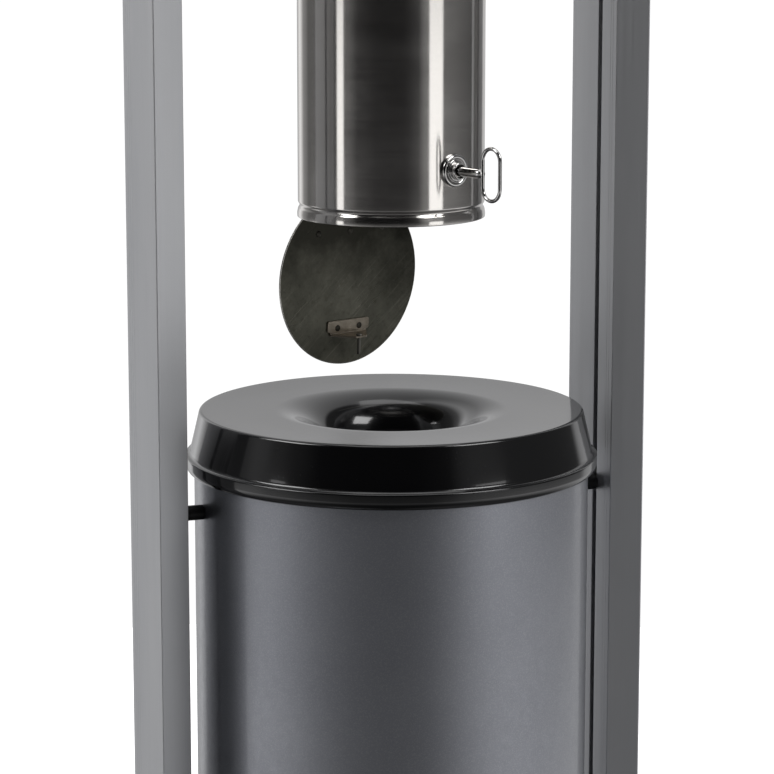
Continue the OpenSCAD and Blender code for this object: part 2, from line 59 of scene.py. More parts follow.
def shader_of(finish):
    """The one shader that a finish is made with."""
    return finish.node_tree.nodes["Principled BSDF"]


def new_finish(name, **constants):
    """A finish with one shader. Constant values are set on the shader's own sockets."""
    finish = bpy.data.materials.new(name)
    finish.use_nodes = True
    for socket, value in constants.items():
        shader_of(finish).inputs[socket.replace("_", " ").title().replace("Ior", "IOR")].default_value = value
    return finish


def node(finish, kind, inputs=(), **settings):
    """Adds a node. inputs pairs each socket with a value or with the output that feeds it."""
    made = finish.node_tree.nodes.new(kind)
    for key, value in settings.items():
        setattr(made, key, value)
    for socket, value in inputs:
        if isinstance(value, bpy.types.NodeSocket):
            finish.node_tree.links.new(value, made.inputs[socket])
        else:
            made.inputs[socket].default_value = value
    return made


def feed(finish, socket, output):
    """Lets an output drive one of the shader's sockets."""
    finish.node_tree.links.new(output, shader_of(finish).inputs[socket])


def grain(finish, scale, stretch=(1, 1, 1), detail=4.0, shift=0.0, roughness=0.6, turn=0.0):
    """Noise in the piece's own metres, drawn out along an axis where stretch is small.
    turn is the angle in degrees about Z through which the drawn-out axes are turned."""
    place = node(finish, "ShaderNodeTexCoord").outputs["Object"]
    along = node(finish, "ShaderNodeMapping", [
        ("Vector", place), ("Scale", [1 / size for size in stretch]),
        ("Rotation", (0, 0, radians(turn))), ("Location", (shift, shift, shift))], vector_type="TEXTURE")
    return node(finish, "ShaderNodeTexNoise", [
        ("Vector", along.outputs[0]), ("Scale", scale), ("Detail", detail),
        ("Roughness", roughness)]).outputs["Fac"]


def spread(finish, value, low, high, start=0.3, end=0.7):
    """Maps noise between start and end to the range low to high."""
    return node(finish, "ShaderNodeMapRange", [
        ("Value", value), ("From Min", start), ("From Max", end),
        ("To Min", low), ("To Max", high)]).outputs[0]


def blended(finish, fac, first, second):
    """A colour that goes from first to second as fac goes from 0 to 1."""
    mix = node(finish, "ShaderNodeMix", data_type="RGBA")
    for socket, value in ((0, fac), (6, first), (7, second)):
        if isinstance(value, bpy.types.NodeSocket):
            finish.node_tree.links.new(value, mix.inputs[socket])
        else:
            mix.inputs[socket].default_value = value if socket == 0 else (*value, 1)
    return mix.outputs[2]


def relief(finish, heights, edge=0.0):
    """Bumps the surface by several height maps, each with a depth in metres, over worn edges."""
    normal = None
    if edge:
        normal = node(finish, "ShaderNodeBevel", [("Radius", edge)], samples=4).outputs[0]
    for height, depth in heights:
        inputs = [("Height", height), ("Distance", depth), ("Strength", 1.0)]
        if normal is not None:
            inputs.append(("Normal", normal))
        normal = node(finish, "ShaderNodeBump", inputs).outputs[0]
    feed(finish, "Normal", normal)


def galvanised(name, spangle, edge):
    """Zinc spangles: cells of slightly different grey and gloss, under a fine frost."""
    finish = new_finish(name, metallic=0.9)
    place = node(finish, "ShaderNodeTexCoord").outputs["Object"]
    drift = node(finish, "ShaderNodeTexNoise", [("Vector", place), ("Scale", spangle * 0.6)])
    bent = node(finish, "ShaderNodeMix", [(0, 0.012), (4, place), (5, drift.outputs["Color"])],
                data_type="VECTOR")
    cells = node(finish, "ShaderNodeTexVoronoi", [("Vector", bent.outputs[1]), ("Scale", spangle)])
    tone = node(finish, "ShaderNodeSeparateColor", [("Color", cells.outputs["Color"])]).outputs[0]
    feed(finish, "Base Color", blended(finish, tone, (0.34, 0.36, 0.38), (0.52, 0.54, 0.56)))
    feed(finish, "Roughness", spread(finish, tone, 0.34, 0.52, 0.0, 1.0))
    relief(finish, [(grain(finish, 900), 0.00006), (grain(finish, 70), 0.0003)], edge)
    return finish


def dress(names, finish):
    """Gives CAD nodes whose shape is right their real finish."""
    for name in names:
        part = frame["nodes"][name]
        part.data.materials.clear()
        part.data.materials.append(finish)


def passivated(name, tint_a, tint_b, rough, edge):
    """Bright zinc plating, faintly yellow and blue where the passivation pooled."""
    finish = new_finish(name, metallic=1.0)
    feed(finish, "Base Color", blended(finish, spread(finish, grain(finish, 180), 0, 1), tint_a, tint_b))
    feed(finish, "Roughness", spread(finish, grain(finish, 700, shift=3), rough - 0.06, rough + 0.1))
    relief(finish, [(grain(finish, 2200), 0.00002)], edge)
    return finish


def arc(cx, cy, rx, ry, start, end, steps):
    """Points on an ellipse from one angle to another, in degrees."""
    turns = [radians(start + (end - start) * i / steps) for i in range(steps + 1)]
    return [(cx + rx * cos(a), cy + ry * sin(a)) for a in turns]


def soften(corners, steps=5):
    """Rounds each corner (x, y, radius) of a closed outline; a radius of 0 leaves it as it is."""
    out = []
    for i, (x, y, radius) in enumerate(corners):
        here = Vector((x, y))
        back = Vector(corners[i - 1][:2]) - here
        ahead = Vector(corners[(i + 1) % len(corners)][:2]) - here
        if radius == 0:
            out.append((x, y))
            continue
        back.normalize()
        ahead.normalize()
        half = back.angle(ahead) / 2
        centre = here + (back + ahead).normalized() * (radius / sin(half))
        first = here + back * (radius / tan(half)) - centre
        last = here + ahead * (radius / tan(half)) - centre
        for k in range(steps + 1):
            out.append(tuple(centre + first.lerp(last, k / steps).normalized() * radius))
    return out


def cut_sheet(outlines, thickness, edge, rounds=2):
    """A flat piece standing on Z = 0, cut to an outline and any holes, with eased edges."""
    curve = bpy.data.curves.new("cut", "CURVE")
    curve.dimensions, curve.fill_mode = "2D", "BOTH"
    curve.extrude = thickness / MM / 2 - edge / MM
    curve.bevel_depth, curve.bevel_resolution, curve.offset = edge / MM, rounds, -edge / MM
    for outline in outlines:
        spline = curve.splines.new("POLY")
        spline.use_cyclic_u = True
        spline.points.add(len(outline) - 1)
        for point, (x, y) in zip(spline.points, outline):
            point.co = (x / MM, y / MM, 0, 1)
    drawn = bpy.data.objects.new("cut", curve)
    bpy.context.scene.collection.objects.link(drawn)
    solid = drawn.evaluated_get(bpy.context.evaluated_depsgraph_get())
    mesh = bpy.data.meshes.new_from_object(solid)
    bpy.data.objects.remove(drawn)
    tidy = bmesh.new()
    tidy.from_mesh(mesh)
    bmesh.ops.remove_doubles(tidy, verts=tidy.verts, dist=0.002)
    bmesh.ops.recalc_face_normals(tidy, faces=tidy.faces)
    tidy.to_mesh(mesh)
    tidy.free()
    mesh.transform(Matrix.Scale(MM, 4) @ Matrix.Translation((0, 0, thickness / MM / 2)))
    return mesh


def fitted(name, mesh, finish, body, stands_for, place=Matrix(), sharp=40):
    """Puts a made piece in its place on the station, in the stead of its CAD nodes."""
    mesh.name = name
    mesh.materials.clear()
    mesh.materials.append(finish)
    mesh.shade_smooth()
    mesh.set_sharp_from_angle(angle=radians(sharp))
    piece = bpy.data.objects.new(name, mesh)
    bpy.context.scene.collection.objects.link(piece)
    piece.matrix_world = place
    piece.modifiers.new("even_shading", "WEIGHTED_NORMAL").keep_sharp = True
    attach(piece, body)
    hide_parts(*stands_for)
    return piece


plate_zinc = galvanised("galvanised_plate", 75, 0.0)
low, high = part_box("base_plate")
plate_corner, plate_edge = 0.016, 0.0008
anchors = mounts["anchor_holes"]["dims"]
anchor_x, anchor_y = anchors["spacing_x_mm"] * MM / 2, anchors["spacing_y_mm"] * MM / 2
anchor_r = anchors["hole_r_mm"] * MM
holes = [arc(x, y, anchor_r, anchor_r, 0, 350, 35)
         for x in (-anchor_x, anchor_x) for y in (-anchor_y, anchor_y)]
outline = soften([(x, y, plate_corner) for x, y in (
    (low.x, low.y), (high.x, low.y), (high.x, high.y), (low.x, high.y))], 12)
plate = cut_sheet([outline] + holes, high.z, plate_edge, rounds=3)
fitted("base_plate_sheet", plate, plate_zinc, "frame", ["base_plate"])
screw_zinc = passivated("zinc_screws", (0.58, 0.6, 0.64), (0.66, 0.63, 0.55), 0.3, 0.0003)
dress(["post_foot_screws"], screw_zinc)


# ---------------------------------------------------------------- posts
# Extruded aluminium with raked ends and a T-slot in the flat inner face that carries every
# fixing. Satin etched and anodised in natural silver, with faint draw lines from the die.

def anodised(name):
    """Satin anodising: even grey with draw lines along the post and a soft cloudiness."""
    finish = new_finish(name, metallic=0.9, ior=1.45)
    lines = grain(finish, 1.0, (900, 900, 2.5), detail=3)
    cloud = grain(finish, 9, (1, 1, 0.3))
    feed(finish, "Base Color", blended(finish, spread(finish, cloud, 0, 1),
                                       (0.56, 0.57, 0.59), (0.63, 0.635, 0.65)))
    feed(finish, "Roughness", spread(finish, lines, 0.4, 0.5))
    relief(finish, [(lines, 0.00003), (grain(finish, 2600), 0.000012)])
    return finish


post_finish = anodised("anodised_aluminium")


def post_outline(low, high, slotted):
    """The raked section seen from above, with its inner face on X = 0; a cap has no slot."""
    wide, rake, tip = high.x - low.x, 0.009, 0.0004
    mouth, lip, channel, channel_deep = 0.008, 0.003, 0.017, 0.011
    outer_lines, outer_deep = (0.0275, 0.0335, 0.0395), 0.0004
    inner_lines, inner_deep = (-0.022, -0.0265), 0.0003
    corners = [(0, low.y + rake - tip, 0.0008), (wide, low.y - tip, 0.001)]
    if slotted:
        for y in outer_lines:
            corners += [(wide, y - outer_deep, 0), (wide - outer_deep, y, 0), (wide, y + outer_deep, 0)]
    corners += [(wide, high.y - rake, 0.004), (0, high.y, 0.0015)]
    if slotted:
        for side in (1, -1):
            notch = [(0, side * mouth / 2, 0.0005), (lip, side * mouth / 2, 0.0003),
                     (lip, side * channel / 2, 0.0005), (channel_deep, side * channel / 2, 0.001)]
            corners += notch if side > 0 else notch[::-1]
        for y in inner_lines:
            corners += [(0, y + inner_deep, 0), (inner_deep, y, 0), (0, y - inner_deep, 0)]
    return soften(corners)


def mirrored(outline):
    """The same outline turned over for the other side of the station."""
    return [(-x, y) for x, y in reversed(outline)]


low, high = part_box("right_post")
post_edge = 0.0003
outline = [(x + low.x, y) for x, y in post_outline(low, high, True)]
for name, section in (("left_post", mirrored(outline)), ("right_post", outline)):
    post = cut_sheet([section], high.z - low.z, post_edge)
    fitted(name + "_extrusion", post, post_finish, "frame", [name],
           Matrix.Translation((0, 0, low.z)))


# ---------------------------------------------------------------- post caps
# Black moulded end caps pushed into the tops of the posts. The moulding has a satin spark-eroded
# face and a generous radius all round its upper edge.

def black_moulding(name):
    """Black nylon, slightly uneven in tone, with the fine grain of its mould."""
    finish = new_finish(name, ior=1.5)
    feed(finish, "Base Color", blended(finish, spread(finish, grain(finish, 40), 0, 1),
                                       (0.012, 0.012, 0.013), (0.022, 0.022, 0.022)))
    feed(finish, "Roughness", spread(finish, grain(finish, 120, shift=2), 0.38, 0.52))
    relief(finish, [(grain(finish, 3000, detail=2), 0.00004)])
    return finish


black_finish = black_moulding("black_plastic")
low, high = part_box("right_post_cap")
cap_top, cap_edge = high.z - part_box("right_post")[1].z, 0.0014
outline = [(x + low.x, y) for x, y in post_outline(low, high, False)]
for name, section in (("left_post_cap", mirrored(outline)), ("right_post_cap", outline)):
    cap = cut_sheet([section], cap_top, cap_edge, rounds=5)
    fitted(name + "_moulding", cap, black_finish, "frame", [name],
           Matrix.Translation((0, 0, high.z - cap_top)))


# ---------------------------------------------------------------- bin body
# A can of rolled sheet steel with a turned-in foot and a swaged bead above it. Powder coated in
# a metallic silver grey: fine flakes under a clear, slightly rippled film.

def turned(outline, steps=192):
    """A piece turned about Z from a closed outline of (radius, height) points."""
    mesh = bpy.data.meshes.new("turned")
    lathe = bmesh.new()
    rings = []
    for r, z in outline:
        if r < 1e-7:
            rings.append([lathe.verts.new((0, 0, z))] * steps)
        else:
            rings.append([lathe.verts.new((r * cos(2 * pi * i / steps), r * sin(2 * pi * i / steps), z))
                          for i in range(steps)])
    for low, high in zip(rings, rings[1:] + rings[:1]):
        for i in range(steps):
            k = (i + 1) % steps
            loop = list(dict.fromkeys((low[i], low[k], high[k], high[i])))
            if len(loop) > 2:
                lathe.faces.new(loop)
    bmesh.ops.recalc_face_normals(lathe, faces=lathe.faces)
    lathe.to_mesh(mesh)
    lathe.free()
    return mesh


def swage(r, z, half, deep, steps):
    """A rounded groove pressed into a wall of radius r, half wide to each side of height z."""
    return [(r - deep * (0.5 + 0.5 * cos(pi * u / steps)), z + half * u / steps)
            for u in range(-steps, steps + 1)]


def flake_coat(name):
    """Aluminium flakes in grey powder, with the slight orange peel of a baked film."""
    finish = new_finish(name, metallic=0.88, coat_weight=0.4, coat_roughness=0.08, ior=1.5)
    place = node(finish, "ShaderNodeTexCoord").outputs["Object"]
    flakes = node(finish, "ShaderNodeTexVoronoi", [("Vector", place), ("Scale", 1500.0)])
    bright = node(finish, "ShaderNodeSeparateColor", [("Color", flakes.outputs["Color"])]).outputs[0]
    cloud = grain(finish, 12)
    powder = blended(finish, spread(finish, cloud, 0, 1), (0.272, 0.281, 0.312), (0.302, 0.311, 0.342))
    feed(finish, "Base Color", blended(finish, spread(finish, bright, 0, 0.4, 0.55, 1.0),
                                       powder, (0.42, 0.43, 0.46)))
    feed(finish, "Roughness", spread(finish, grain(finish, 160, shift=5), 0.33, 0.4))
    relief(finish, [(bright, 0.000012), (grain(finish, 420, detail=2), 0.00003)])
    return finish


bin_finish = flake_coat("bin_paint")
low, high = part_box("bin_body")
can_r, can_t, foot_in, foot_round, rim_round = high.x, 0.002, 0.007, 0.0012, 0.0004
bead_up, bead_half, bead_deep = 0.014, 0.0036, 0.0009
body_outline = (
    arc(can_r - foot_round, low.z + foot_round, foot_round, foot_round, -90, 0, 5)
    + swage(can_r, low.z + bead_up, bead_half, bead_deep, 6)
    + arc(can_r - rim_round, high.z - rim_round, rim_round, rim_round, 0, 90, 2)
    + arc(can_r - can_t + rim_round, high.z - rim_round, rim_round, rim_round, 90, 180, 2)
    + [(can_r - can_t, low.z + can_t), (can_r - foot_in, low.z + can_t), (can_r - foot_in, low.z)])
fitted("bin_body_shell", turned(body_outline, 256), bin_finish, "frame", ["bin_body"])


# ---------------------------------------------------------------- bin bottom and liner
# The bottom is pressed and seamed into the can. The liner is a plain galvanised bucket that
# stands on it and is lifted out by its rolled rim once the lid is off.

liner_zinc = galvanised("galvanised_sheet", 110, 0.0003)
dress(["bin_bottom", "bin_liner"], liner_zinc)


# ---------------------------------------------------------------- lid
# A deep-drawn steel lid: flat top, a funnel that rolls down into the throat so that fire smothers
# itself, and a rim band that drops over the can. Stove enamelled in gloss black.

def black_enamel(name):
    """Deep gloss with a slight peel, and hand wipes that dull it a little in patches."""
    finish = new_finish(name, base_color=(0.004, 0.004, 0.0045, 1), ior=1.5, coat_weight=0.5,
                        coat_roughness=0.03)
    wipes = grain(finish, 7, detail=6, roughness=0.7)
    dust = grain(finish, 900, detail=1)
    gloss = spread(finish, wipes, 0.13, 0.19, 0.4, 0.75)
    speck = spread(finish, dust, 0.0, 0.12, 0.68, 0.74)
    total = node(finish, "ShaderNodeMath", [(0, gloss), (1, speck)], operation="ADD").outputs[0]
    feed(finish, "Roughness", total)
    relief(finish, [(grain(finish, 300, detail=1), 0.000012)])
    return finish


def wall_behind(path, wall):
    """The far side of a bent sheet whose seen side is path; the wall lies to its right."""
    far = []
    for i, (x, y) in enumerate(path):
        ahead, back = path[min(i + 1, len(path) - 1)], path[max(i - 1, 0)]
        run = Vector((ahead[0] - back[0], ahead[1] - back[1])).normalized()
        far.append((x + run.y * wall, y - run.x * wall))
    return far


lid_finish = black_enamel("lid_black")
low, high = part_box("bin_lid")
top, lid_t = high.z, 0.0016
throat_r, throat_low, throat_tall = 0.057, top - 0.046, 0.006
funnel_r, funnel_deep, dish = 0.100, 0.034, 0.0015
edge_r, fillet = 0.1633, 0.003
skirt_r, skirt_low, cove_r = 0.1705, top - 0.0335, 0.0038
band_r, band_high, band_low, band_round = high.x, top - 0.0387, top - 0.044, 0.0015
curl_r, curl_low = 0.1695, low.z
flat_top = [(0.115, top - 0.0013), (0.135, top - 0.0009), (0.151, top - 0.0003)]
skirt = [(0.1650, top - 0.010), (0.1683, top - 0.024), (skirt_r - 0.0004, skirt_low + 0.002)]
lid_path = (
    [(throat_r, throat_low), (throat_r, throat_low + throat_tall)]
    + arc(funnel_r, top - dish - funnel_deep, funnel_r - throat_r, funnel_deep, 180, 90, 40)
    + flat_top + arc(edge_r - fillet, top - fillet, fillet, fillet, 90, 12, 10)
    + skirt + arc(skirt_r + cove_r, skirt_low, cove_r, cove_r, 188, 258, 14)
    + arc(band_r - band_round, band_high, band_round, band_round, 70, 0, 5)
    + arc(curl_r, band_low, band_r - curl_r, band_low - curl_low, 0, -90, 14))
lid_mesh = turned(lid_path + wall_behind(lid_path, lid_t)[::-1], 320)
fitted("bin_lid_shell", lid_mesh, lid_finish, "lid", ["bin_lid"], sharp=60)


# ---------------------------------------------------------------- bin standoffs, screws and nuts
# Black moulded distance pieces between the slots and the can, shouldered where they meet the
# post. A screw from inside the can runs through each into a nut that slides in the slot.

def along_x(z, side):
    """Lays a piece turned about Z along the X axis at a height, running outward to one side."""
    return Matrix.Translation((0, 0, z)) @ Matrix.Rotation(side * pi / 2, 4, "Y")


def standoff(name):
    """A distance piece on the side that its name gives, with the thicker shoulder outward."""
    low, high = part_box(name)
    start, end = sorted((abs(low.x), abs(high.x)))
    r, centre = (high.z - low.z) / 2, (low.z + high.z) / 2
    bore, neck, shoulder = 0.0032, r - 0.0007, end - 0.008
    bulge, inner_edge, outer_edge = 0.0008, 0.0005, 0.0006
    outline = (
        [(bore, start), (neck - inner_edge, start), (neck, start + inner_edge), (neck, shoulder - bulge)]
        + arc(r - bulge, shoulder, bulge, bulge, -60, 0, 3)
        + [(r, end - outer_edge), (r - outer_edge, end), (bore, end)])
    fitted(name + "_sleeve", turned(outline, 64), black_finish, "frame", [name],
           along_x(centre, 1 if "right" in name else -1))


for name in [part for part in frame["nodes"] if part.startswith("bin_standoff")]:
    standoff(name)
dress(["bin_screws", "bin_slot_nuts"], screw_zinc)


# ---------------------------------------------------------------- ash tube
# Stainless sheet rolled to a tube and welded behind. A groove swaged near the lower edge stiffens
# it, the lower band flares slightly, and the top is curled over. Brushed round the tube.

def brushed(name, stretch, tint_a, tint_b, rough, smear):
    """Brushed steel: fine lines along the stretched axis, smears, and streaky reflections."""
    finish = new_finish(name, metallic=1.0, anisotropic=smear, anisotropic_rotation=0.25)
    lines = grain(finish, 1.0, stretch, detail=5, roughness=0.75)
    cloud = grain(finish, 14, (1, 1, 2), detail=5)
    feed(finish, "Base Color", blended(finish, spread(finish, cloud, 0, 1), tint_a, tint_b))
    both = node(finish, "ShaderNodeMath", [(0, spread(finish, lines, -0.025, 0.025)),
                                           (1, spread(finish, cloud, rough - 0.015, rough + 0.025))],
                operation="ADD").outputs[0]
    feed(finish, "Roughness", both)
    feed(finish, "Tangent", node(finish, "ShaderNodeTangent", direction_type="RADIAL",
                                 axis="Z").outputs[0])
    relief(finish, [(lines, 0.000005)])
    return finish


tube_finish = brushed("brushed_stainless", (12, 12, 2400), (0.57, 0.55, 0.525), (0.62, 0.6, 0.575),
                      0.15, 0.9)
low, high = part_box("ash_tube")
wall, tube_r = 0.0015, 0.0783
flare_r, flare_neck, flare_low = tube_r + 0.0007, tube_r + 0.0004, low.z + 0.003
groove_z, groove_half, groove_deep = low.z + 0.010, 0.0034, 0.0014
under, over = groove_z - 0.0055, groove_z + 0.006
lip_round, curl_start = 0.0028, -117.7
lip_r, lip_z = tube_r - wall + lip_round, high.z - lip_round
groove = swage(tube_r, groove_z, groove_half, groove_deep, 10)
tube_outline = (
    arc(flare_r - wall / 2 - 0.0002, low.z + wall / 2, wall / 2, wall / 2, -180, 0, 8)
    + [(flare_r - 0.0001, flare_low), (flare_neck, under)] + groove + [(tube_r, over)]
    + arc(lip_r, lip_z, lip_round, lip_round, curl_start, 180, 24)
    + [(tube_r - wall, over)] + [(r - wall, z) for r, z in reversed(groove)]
    + [(flare_neck - wall, under)])
fitted("ash_tube_shell", turned(tube_outline, 256), tube_finish, "frame",
       ["ash_tube"])


# ---------------------------------------------------------------- tube standoffs, screws and nuts
# The same black distance pieces, cut longer to hold the slimmer tube on the centre line.

for name in [part for part in frame["nodes"] if part.startswith("tube_standoff")]:
    standoff(name)
dress(["tube_screws", "tube_slot_nuts"], screw_zinc)


# ---------------------------------------------------------------- stub grid and its seat
# A pressed stainless tray that lifts out by its centre hole. Smokers stub out on the perforated
# face and drop the end through the collar. It sits on a ring welded inside the tube.

def joined(meshes):
    """One mesh from several that are welded into one piece."""
    whole = bmesh.new()
    for mesh in meshes:
        whole.from_mesh(mesh)
    mesh = bpy.data.meshes.new("joined")
    whole.to_mesh(mesh)
    whole.free()
    return mesh


def ring_wall(inner, outer, base, top, edge):
    """A short tube with rounded rims, as an outline to turn."""
    return soften([(inner, base, edge), (outer, base, edge), (outer, top, edge), (inner, top, edge)], 3)


dress(["grid_seat_ring"], tube_finish)
low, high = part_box("stub_grid")
grid_r, grid_t, hole_r, drain_r = high.x, 0.0015, 0.024, 0.0026
face_edge, rim_edge, collar_tall = 0.0003, 0.0006, grid_t + 0.003
holes = [arc(0, 0, hole_r + face_edge, hole_r + face_edge, 0, 350, 35)]
for ring_r, count in ((0.036, 18), (0.048, 24), (0.060, 30)):
    for i in range(count):
        turn = 2 * pi * (i + 0.5) / count
        holes.append(arc(ring_r * cos(turn), ring_r * sin(turn), drain_r, drain_r, 0, 345, 23))
face = cut_sheet([arc(0, 0, grid_r - 0.0004, grid_r - 0.0004, 0, 357, 119)] + holes, grid_t, face_edge)
flange = turned(ring_wall(grid_r - grid_t, grid_r, 0, high.z - low.z, rim_edge), 160)
collar = turned(ring_wall(hole_r, hole_r + grid_t, 0, collar_tall, rim_edge), 96)
fitted("stub_grid_tray", joined([face, flange, collar]), tube_finish, "grid",
       ["stub_grid"], Matrix.Translation((0, 0, low.z)))


# ---------------------------------------------------------------- flap hinge
# A segment of sheet is welded across the back of the tube's mouth. Two leaves rolled round a pin
# hang the flap from it, the fixed one on two rivets and the other on three. Ash has dulled it all,
# and the heads of the flap's rivets are painted near black as painted shade.

def ash_stained(name, deep, pale, stretch, rough, edge, turn=0.0, shade_reach=0.0):
    """Steel browned by smoke: cloudy stains, freckles and old scratches over dull metal.
    The last argument is the distance along Y over which a painted shade, near black at small Y, fades out."""
    finish = new_finish(name, metallic=0.85)
    cloud = grain(finish, 22, detail=8, roughness=0.65)
    spots = grain(finish, 190, detail=3, shift=7)
    scratch = grain(finish, 1.0, stretch, detail=4, shift=1, turn=turn)
    stain = blended(finish, spread(finish, cloud, 0, 1), deep, pale)
    scored = blended(finish, spread(finish, scratch, 0, 0.5, 0.57, 0.7), stain,
                     [min(1, tone * 1.7) for tone in pale])
    freckles_and_shade = blended(finish, spread(finish, spots, 0, 0.45, 0.55, 0.75), scored,
                       (deep[0] * 0.5, deep[1] * 0.45, deep[2] * 0.4))
    # Painted shade: near black at small Y, which on the flap is the hinge end under the tube, fading into the
    # metal further down.
    if shade_reach:
        place = node(finish, "ShaderNodeTexCoord").outputs["Object"]
        along = node(finish, "ShaderNodeSeparateXYZ", [(0, place)]).outputs["Y"]
        drift = node(finish, "ShaderNodeMath", [(0, along), (1, spread(finish, cloud, -0.02, 0.02))],
                     operation="ADD").outputs[0]
        freckles_and_shade = blended(finish, spread(finish, drift, 0.0, 1.0, shade_reach * 0.15, shade_reach), (0.03, 0.029, 0.022),
                           freckles_and_shade)
    feed(finish, "Base Color", freckles_and_shade)
    feed(finish, "Roughness", spread(finish, scratch, rough - 0.08, rough + 0.1))
    relief(finish, [(scratch, 0.00005), (cloud, 0.00008)], edge)
    return finish


leaf_finish = ash_stained("dull_stainless", (0.2, 0.19, 0.165), (0.32, 0.31, 0.28), (60, 60, 900),
                          0.4, 0.0003)
dress(["hinge_plate", "hinge_fixed_leaf", "hinge_flap_leaf", "hinge_pin", "hinge_plate_rivets"],
      leaf_finish)
# Painted shade: the flap's rivet heads are given a near-black finish.
dress(["flap_rivets"], ash_stained("rivets_painted_shade", (0.035, 0.033, 0.028), (0.09, 0.085, 0.07),
                                   (60, 60, 900), 0.5, 0.0003))


# ---------------------------------------------------------------- flap
# A disc cut from stainless sheet, with a chord taken off at the hinge. Its rim is painted pale all
# round: partly wear where it scrapes the tube, partly a painted highlight along the edge. The face
# that is up when shut is stained by ash, and painted darker towards the hinge as painted shade.

def frame_on(x_axis, at):
    """A level frame at a point, with its X along the axis given and its Z up."""
    x = Vector(x_axis).normalized()
    y = Vector((0, 0, 1)).cross(x)
    return Matrix.Translation(at) @ Matrix((x, y, (0, 0, 1))).transposed().to_4x4()


def seen_from(place, name):
    """The lowest and highest corners of a CAD node in a frame of its own."""
    corners = [place.inverted() @ v.co for v in frame["nodes"][name].data.vertices]
    return (Vector(map(min, zip(*corners))), Vector(map(max, zip(*corners))))


swing = joints["flap_swing"]
hanging = (frame_on(swing["axis"], swing["pos_m"])
           @ Matrix.Rotation(radians(-swing["range_deg"][1]), 4, "X"))
# The flap's finish is painted darker towards the hinge, as painted shade under the tube.
flap_finish = ash_stained("flap_steel", (0.18, 0.18, 0.142), (0.27, 0.265, 0.215), (12, 420, 12),
                          0.34, 0.0, turn=40, shade_reach=0.13)
low, high = seen_from(hanging, "flap_disc")
flap_r = (high.x - low.x) / 2
flap_cy = high.y - flap_r
chord = sqrt(flap_r ** 2 - (flap_cy - low.y) ** 2)
corner = degrees(atan2(chord, flap_cy - low.y)) - 90
disc_outline = arc(0, flap_cy, flap_r, flap_r, corner, 180 - corner, 220)
stain_and_shade = shader_of(flap_finish).inputs["Base Color"].links[0].from_socket
place = node(flap_finish, "ShaderNodeTexCoord").outputs["Object"]
from_middle = node(flap_finish, "ShaderNodeVectorMath", [
    (0, place), (1, (0, flap_cy, (low.z + high.z) / 2))], operation="DISTANCE").outputs["Value"]
# Painted highlight and wear: the base colour turns pale over the outer millimetre of the rim.
worn_sheen_from, worn_sheen_full = flap_r - 0.0009, flap_r - 0.0003
feed(flap_finish, "Base Color", blended(
    flap_finish, spread(flap_finish, from_middle, 0, 1, worn_sheen_from, worn_sheen_full), stain_and_shade,
    (0.78, 0.76, 0.71)))
disc = cut_sheet([disc_outline], high.z - low.z, 0.0005, rounds=3)
disc.transform(Matrix.Translation((0, 0, low.z)))
fitted("flap_disc_plate", disc, flap_finish, "flap", ["flap_disc"], hanging)


# ---------------------------------------------------------------- catch bracket and pin
# A strip of zinc-plated sheet bent to a right angle and riveted to the flap. Its standing tab
# tapers to the hole where the round pin that the lock hooks is pressed in and spread over.

def bent_strip(inner, thickness, length):
    """A quarter turn of sheet along X, from flat on Z = 0 to standing on Y = 0, both outermost."""
    outer = inner + thickness
    outside = arc(-outer, outer, outer, outer, -90, 0, 8)
    inside = arc(-outer, outer, inner, inner, 0, -90, 8)
    strip = cut_sheet([outside + inside], length, 0.00005, rounds=1)
    strip.transform(Matrix.Translation((-length / 2, 0, 0)) @ Matrix(((0, 0, 1, 0), (1, 0, 0, 0),
                                                                      (0, 1, 0, 0), (0, 0, 0, 1))))
    return strip


bracket_zinc = passivated("bright_zinc", (0.3, 0.265, 0.215), (0.43, 0.38, 0.31), 0.33, 0.0)
low, high = seen_from(hanging, "catch_bracket")
sheet, bend, edge = 0.0015, 0.0008, 0.00025
flange_half, tab_half, tip_half = (high.x - low.x) / 2, 0.020, 0.006
flange_end, notch, bend_line = high.y - 0.004, high.y - 0.0028, high.y - bend - sheet
tab_low, tab_straight, tab_tall, tab_draw = bend + sheet, 0.0035, high.z - low.z, 0.001
flange = cut_sheet([soften([
    (-flange_half, low.y, 0.002), (flange_half, low.y, 0.002), (flange_half, flange_end, 0.001),
    (tab_half, notch, 0.001), (tab_half, bend_line, 0), (-tab_half, bend_line, 0),
    (-tab_half, notch, 0.001), (-flange_half, flange_end, 0.001)])], sheet, edge)
flange.transform(Matrix.Translation((0, 0, low.z)))
tab = cut_sheet([soften([
    (-tab_half, tab_low, 0), (tab_half, tab_low, 0), (tab_half - tab_draw, tab_straight, 0.001),
    (tip_half, tab_tall, 0.004), (-tip_half, tab_tall, 0.004),
    (tab_draw - tab_half, tab_straight, 0.001)])], sheet, edge)
tab.transform(Matrix.Translation((0, high.y, low.z)) @ Matrix.Rotation(pi / 2, 4, "X"))
corner = bent_strip(bend, sheet, 2 * tab_half)
corner.transform(Matrix.Translation((0, high.y, low.z)))
fitted("catch_bracket_sheet", joined([flange, tab, corner]), bracket_zinc, "flap",
       ["catch_bracket"], hanging)
low, high = seen_from(hanging, "catch_pin")
head_r, head_t, head_round = (high.x - low.x) / 2, 0.0015, 0.0008
pin_r, pin_long, tip_round = 0.0015, high.y - low.y, 0.0006
pin = turned(
    [(0, 0)] + arc(head_r - head_round, head_t * 0.55, head_round, head_t * 0.55, -90, 0, 5)
    + [(head_r - 0.0001, head_t), (pin_r, head_t), (pin_r, pin_long - tip_round)]
    + arc(pin_r - tip_round, pin_long - tip_round, tip_round, tip_round, 20, 90, 4)
    + [(0, pin_long)], 40)
pin.transform(Matrix.Translation((0, low.y, (low.z + high.z) / 2)) @ Matrix.Rotation(-pi / 2, 4, "X"))
